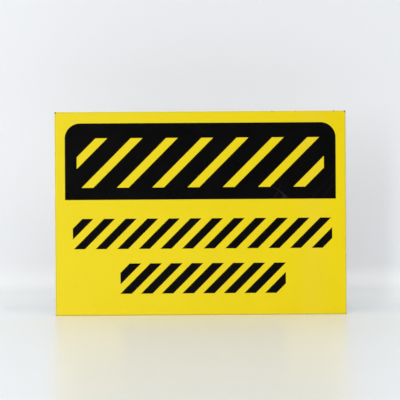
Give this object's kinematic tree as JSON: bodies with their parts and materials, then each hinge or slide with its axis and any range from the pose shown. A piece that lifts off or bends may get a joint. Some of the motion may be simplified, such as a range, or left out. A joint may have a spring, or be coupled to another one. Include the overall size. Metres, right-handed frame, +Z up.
{
  "type": "warning sign",
  "caption": "Flat rectangular wall sign folded from one metal sheet, with turned hem edges, a black header field and striped panels on yellow enamel.",
  "frame": {"origin": "centre of the sign, halfway through its folded depth", "axes": "+Z up, +X to the right seen from the front, the printed face looks along -Y and the hems along +Y"},
  "size_m": [0.254, 0.0014, 0.1778],
  "materials": {
    "yellow_enamel": "satin enamel on the face and round the turned edges",
    "black_ink": "satin printed ink with light scuffs",
    "bare_tinplate": "uncoated rolled sheet on the recessed back"
  },
  "bodies": {
    "root": {"sign_sheet": "yellow_enamel"}
  },
  "joints": []
}
